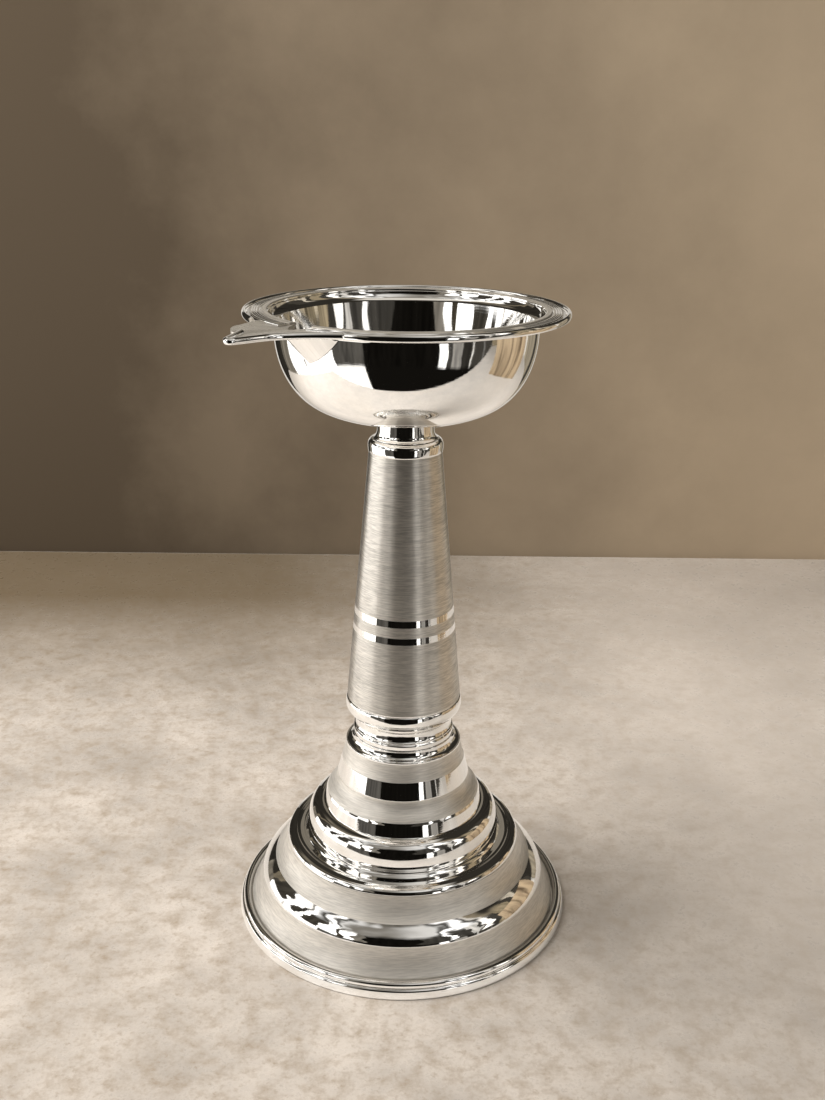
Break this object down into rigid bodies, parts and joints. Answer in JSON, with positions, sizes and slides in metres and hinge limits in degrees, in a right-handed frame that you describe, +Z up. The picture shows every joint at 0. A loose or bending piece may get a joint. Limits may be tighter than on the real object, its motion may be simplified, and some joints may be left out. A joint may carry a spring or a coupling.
{
  "type": "standing oil lamp",
  "caption": "Standing oil lamp in polished and satin metal: open bowl with a pinched wick spout on a tapered stem and a stepped bell-shaped foot that screw apart.",
  "frame": {"origin": "centre of the flat underside of the foot, on the lamp's axis", "axes": "+Z up along the axis from the foot to the bowl; -Y towards the pictured side; the wick spout points to -X and -Y, at an azimuth of -132 degrees from +X"},
  "size_m": [0.0984, 0.0984, 0.1788],
  "materials": {
    "polished_silver": "silver-plated, mirror polished",
    "satin_silver": "silver-plated, satin turned",
    "stud_steel": "machined"
  },
  "bodies": {
    "base": {"foot_rim": "polished_silver", "foot_wire": "polished_silver", "lower_bell": "satin_silver", "stepped_ledge": "polished_silver", "dome": "polished_silver", "upper_bell": "satin_silver", "collar": "polished_silver", "base_bush": "stud_steel"},
    "stem_stud": {"stem_stud": "stud_steel"},
    "stem": {"stem_spool": "polished_silver", "stem_tube": "satin_silver", "stem_cap": "polished_silver"},
    "bowl_stud": {"bowl_stud": "stud_steel"},
    "bowl": {"bowl_neck": "polished_silver", "oil_bowl": "polished_silver", "rim_flange": "polished_silver", "groove_ring": "polished_silver", "lip_wire": "polished_silver", "spout_plate": "polished_silver", "spout_gutter": "polished_silver"}
  },
  "joints": [
    {"name": "stem_lift", "type": "slide", "parent": "base", "child": "stem_stud", "axis": [0, 0, 1], "range_m": [0, 0.0075]},
    {"name": "stem_turn", "type": "hinge", "parent": "stem_stud", "child": "stem", "pos_m": [0, 0, 0.0568], "axis": [0, 0, 1], "range_deg": [0, 2160]},
    {"name": "bowl_lift", "type": "slide", "parent": "stem", "child": "bowl_stud", "axis": [0, 0, 1], "range_m": [0, 0.00625]},
    {"name": "bowl_turn", "type": "hinge", "parent": "bowl_stud", "child": "bowl", "pos_m": [0, 0, 0.14425], "axis": [0, 0, 1], "range_deg": [0, 1800]}
  ],
  "couplings": [
    {"joint": "stem_turn", "follows": "stem_lift", "rad_per_m": 5026.5},
    {"joint": "bowl_turn", "follows": "bowl_lift", "rad_per_m": 5026.5}
  ]
}
